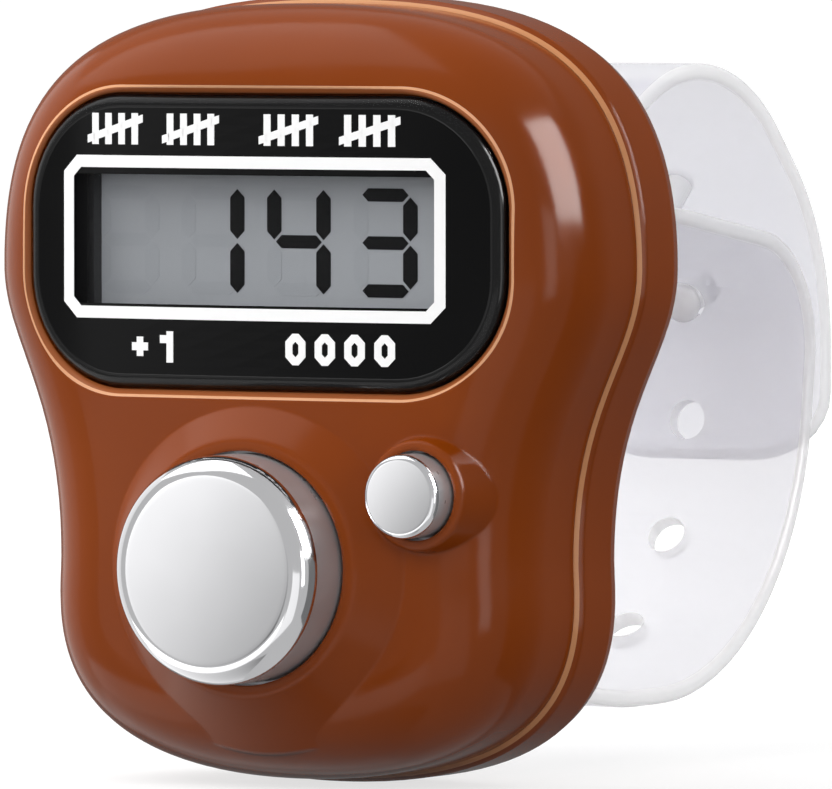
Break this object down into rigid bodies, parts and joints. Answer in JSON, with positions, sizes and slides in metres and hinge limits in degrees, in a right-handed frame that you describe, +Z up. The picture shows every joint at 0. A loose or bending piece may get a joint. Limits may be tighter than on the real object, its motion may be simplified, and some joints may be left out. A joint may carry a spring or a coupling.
{
  "type": "finger tally counter",
  "caption": "Finger-worn electronic tally counter: glossy two-shell case, digit window, large count button, small reset button and a pegged silicone finger loop.",
  "frame": {"origin": "axis of the finger loop, in the middle of the case across its width, level with the middle of the case", "axes": "+Z up along the upright digits, -Y out of the front face, +X to the right of the display"},
  "size_m": [0.037, 0.0556, 0.0418],
  "materials": {
    "case_brown": "high gloss moulded plastic",
    "window_clear": "clear acrylic",
    "mask_black": "black back print",
    "tape_black": "thin adhesive tape",
    "bezel_black": "matte moulded plastic",
    "lcd_film": "polarizing film",
    "lcd_glass": "thin float glass",
    "lcd_grey": "reflective grey film",
    "zebra_rubber": "striped contact rubber",
    "board_green": "solder mask over glass fibre",
    "resin_black": "cured resin",
    "chip_dark": "small chip parts",
    "switch_black": "moulded nylon",
    "sheet_steel": "stamped sheet",
    "screw_steel": "plated steel",
    "button_chrome": "bright plating on plastic",
    "strap_silicone": "translucent silicone"
  },
  "bodies": {
    "case": {"front_shell": "case_brown", "rear_shell": "case_brown", "display_lens": "window_clear", "lens_mask": "mask_black", "lens_adhesive": "tape_black", "lcd_bezel": "bezel_black", "lcd_front_polarizer": "lcd_film", "lcd_front_glass": "lcd_glass", "lcd_rear_glass": "lcd_glass", "lcd_reflector": "lcd_grey", "zebra_connector": "zebra_rubber", "circuit_board": "board_green", "chip_blob": "resin_black", "resistor": "chip_dark", "capacitor": "chip_dark", "count_switch_base": "switch_black", "count_switch_cover": "sheet_steel", "count_switch_dome": "sheet_steel", "reset_switch_base": "switch_black", "reset_switch_cover": "sheet_steel", "reset_switch_dome": "sheet_steel", "button_cell": "sheet_steel", "cell_clip": "sheet_steel", "cell_spring": "sheet_steel", "board_screws": "screw_steel", "case_screws": "screw_steel", "upper_strap": "strap_silicone", "lower_strap": "strap_silicone"},
    "count_button": {"count_button": "button_chrome"},
    "count_plunger": {"count_switch_plunger": "switch_black"},
    "reset_button": {"reset_button": "button_chrome"},
    "reset_plunger": {"reset_switch_plunger": "switch_black"}
  },
  "joints": [
    {"name": "count_press", "type": "slide", "parent": "case", "child": "count_button", "axis": [0, 1, 0], "range_m": [0, 0.00045], "stiffness_N_per_m": 3000, "deforming": ["count_switch_dome"]},
    {"name": "count_plunger_slide", "type": "slide", "parent": "case", "child": "count_plunger", "axis": [0, 1, 0], "range_m": [0, 0.00045], "deforming": ["count_switch_dome"]},
    {"name": "reset_press", "type": "slide", "parent": "case", "child": "reset_button", "axis": [0, 1, 0], "range_m": [0, 0.00045], "stiffness_N_per_m": 2500, "deforming": ["reset_switch_dome"]},
    {"name": "reset_plunger_slide", "type": "slide", "parent": "case", "child": "reset_plunger", "axis": [0, 1, 0], "range_m": [0, 0.00045], "deforming": ["reset_switch_dome"]}
  ],
  "couplings": [
    {"joint": "count_plunger_slide", "follows": "count_press", "ratio": 1},
    {"joint": "reset_plunger_slide", "follows": "reset_press", "ratio": 1}
  ]
}
